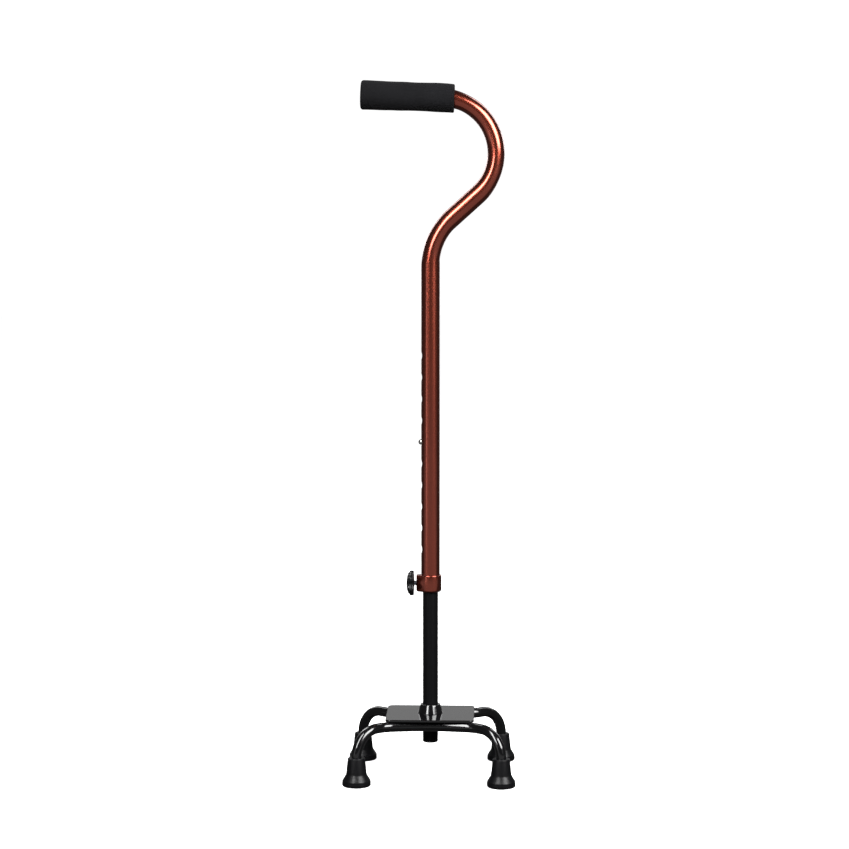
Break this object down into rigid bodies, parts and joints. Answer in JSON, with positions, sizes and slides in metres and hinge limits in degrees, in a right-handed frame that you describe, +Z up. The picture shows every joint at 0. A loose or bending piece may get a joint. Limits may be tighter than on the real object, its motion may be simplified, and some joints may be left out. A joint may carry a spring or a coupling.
{
  "type": "quad walking cane",
  "caption": "Height-adjustable walking cane with a swan-neck handle, foam grip, telescoping shaft, snap button, clamp knob and a small four-footed base.",
  "frame": {"origin": "on the floor plane, below the shaft's axis, at the middle of the four feet", "axes": "+Z up along the shaft; -X is the way the grip and the clamp knob point; +Y to the rear leg tube"},
  "size_m": [0.2014, 0.1714, 0.8167],
  "materials": {
    "bronze_aluminium": "drawn aluminium tube in a clear metallic copper-bronze lacquer, glossy",
    "black_foam": "closed-cell foam rubber, matt near-black, with a fine cell texture",
    "black_plastic": "moulded black plastic with a light satin sheen",
    "zinc_plated_steel": "zinc-plated steel, slightly dull silver",
    "natural_nylon": "moulded natural nylon, off-white",
    "satin_black_steel": "steel tube in satin black powder coat",
    "nickel_plated_steel": "nickel-plated steel, bright",
    "spring_steel": "blued-grey spring steel strip",
    "gloss_black_enamel": "steel in gloss black stoved enamel",
    "black_rubber": "moulded black rubber, soft sheen"
  },
  "bodies": {
    "base": {"lower_shaft": "satin_black_steel", "lower_shaft_top_bush": "natural_nylon", "shaft_bottom_plug": "black_plastic", "snap_spring": "spring_steel", "base_hub": "gloss_black_enamel", "base_plate": "gloss_black_enamel", "front_leg_tube": "gloss_black_enamel", "rear_leg_tube": "gloss_black_enamel", "front_left_tip": "black_rubber", "front_right_tip": "black_rubber", "rear_left_tip": "black_rubber", "rear_right_tip": "black_rubber", "front_left_tip_washer": "zinc_plated_steel", "front_right_tip_washer": "zinc_plated_steel", "rear_left_tip_washer": "zinc_plated_steel", "rear_right_tip_washer": "zinc_plated_steel"},
    "upper": {"upper_shaft": "bronze_aluminium", "handle_grip": "black_foam", "handle_end_plug": "black_plastic", "clamp_collar": "bronze_aluminium", "guide_bush": "natural_nylon"},
    "snap_button": {"snap_button": "nickel_plated_steel"},
    "lock_pad": {"lock_pad": "natural_nylon"},
    "lock_knob": {"lock_knob": "black_plastic", "lock_screw": "zinc_plated_steel"}
  },
  "joints": [
    {"name": "height_adjust", "type": "slide", "parent": "base", "child": "upper", "axis": [0, 0, 1], "range_m": [-0.1016, 0.127], "deforming": ["snap_button"]},
    {"name": "button_press", "type": "slide", "parent": "base", "child": "snap_button", "axis": [1, 0, 0], "range_m": [0, 0.0046], "stiffness_N_per_m": 900, "springref_m": -0.002, "deforming": ["snap_spring"]},
    {"name": "screw_feed", "type": "slide", "parent": "upper", "child": "lock_pad", "axis": [-1, 0, 0], "range_m": [0, 0.003]},
    {"name": "knob_turn", "type": "hinge", "parent": "lock_pad", "child": "lock_knob", "pos_m": [0, 0, 0.2275], "axis": [-1, 0, 0], "range_deg": [0, 1080]}
  ],
  "couplings": [
    {"joint": "knob_turn", "follows": "screw_feed", "rad_per_m": 6283.2}
  ]
}
